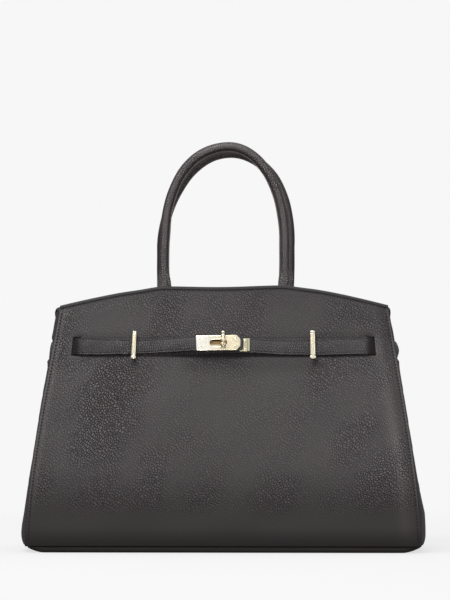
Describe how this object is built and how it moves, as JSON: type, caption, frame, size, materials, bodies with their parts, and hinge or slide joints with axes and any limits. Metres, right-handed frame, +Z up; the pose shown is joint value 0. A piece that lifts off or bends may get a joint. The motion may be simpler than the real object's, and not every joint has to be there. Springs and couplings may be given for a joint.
{
  "type": "handbag",
  "caption": "Structured leather handbag with rolled top handles, side gussets, a belt threaded through slits, a turn lock and a zip pocket inside.",
  "frame": {"origin": "middle of the underside of the base, on the floor", "axes": "+Z up, the front with the belt and lock faces -Y, +X to the right when the front is looked at"},
  "size_m": [0.3848, 0.153, 0.391],
  "materials": {
    "black_leather": "fine pebbled grain, soft sheen",
    "gold_metal": "pale gold plating, polished",
    "grey_board": "matt fibre board",
    "taupe_cloth": "close woven lining"
  },
  "bodies": {
    "bag": {"front_panel": "black_leather", "back_panel": "black_leather", "gusset_left": "black_leather", "gusset_right": "black_leather", "base_panel": "black_leather", "base_board": "grey_board", "front_board": "grey_board", "back_board": "grey_board", "lining_front": "taupe_cloth", "lining_back": "taupe_cloth", "lining_left": "taupe_cloth", "lining_right": "taupe_cloth", "lining_base": "taupe_cloth", "binding_front": "black_leather", "binding_back": "black_leather", "binding_left": "black_leather", "binding_right": "black_leather", "handle_tab_front_left": "black_leather", "handle_tab_front_right": "black_leather", "handle_tab_back_left": "black_leather", "handle_tab_back_right": "black_leather", "belt_left": "black_leather", "belt_right": "black_leather", "side_belt_left": "black_leather", "side_belt_right": "black_leather", "keeper_left": "gold_metal", "keeper_right": "gold_metal", "keeper_washer_left": "gold_metal", "keeper_washer_right": "gold_metal", "belt_plate_over": "gold_metal", "belt_plate_under": "gold_metal", "belt_rivet_1": "gold_metal", "belt_rivet_2": "gold_metal", "belt_rivet_3": "gold_metal", "belt_rivet_4": "gold_metal", "belt_rivet_5": "gold_metal", "belt_rivet_6": "gold_metal", "lock_bush": "gold_metal", "lock_clip": "gold_metal", "pocket_welt": "black_leather", "zip_tape": "gold_metal"},
    "front_handle": {"handle_front": "black_leather"},
    "back_handle": {"handle_back": "black_leather"},
    "turn_lock": {"lock_toggle": "gold_metal"},
    "slider": {"zip_slider": "gold_metal"},
    "pull": {"zip_pull": "gold_metal"}
  },
  "joints": [
    {"name": "front_handle_fold", "type": "hinge", "parent": "bag", "child": "front_handle", "pos_m": [0, -0.0255, 0.256], "axis": [1, 0, 0], "range_deg": [-5, 60]},
    {"name": "back_handle_fold", "type": "hinge", "parent": "bag", "child": "back_handle", "pos_m": [0, 0.0255, 0.256], "axis": [-1, 0, 0], "range_deg": [-5, 60]},
    {"name": "lock_turn", "type": "hinge", "parent": "bag", "child": "turn_lock", "pos_m": [0, -0.06232, 0.19796], "axis": [0, -0.9733, 0.2294], "range_deg": [0, 90]},
    {"name": "zip_slide", "type": "slide", "parent": "bag", "child": "slider", "axis": [1, 0, 0], "range_m": [0, 0.14]},
    {"name": "zip_pull_swing", "type": "hinge", "parent": "slider", "child": "pull", "pos_m": [-0.07, 0.04575, 0.16693], "axis": [-1, 0, 0], "range_deg": [-8, 150]}
  ]
}
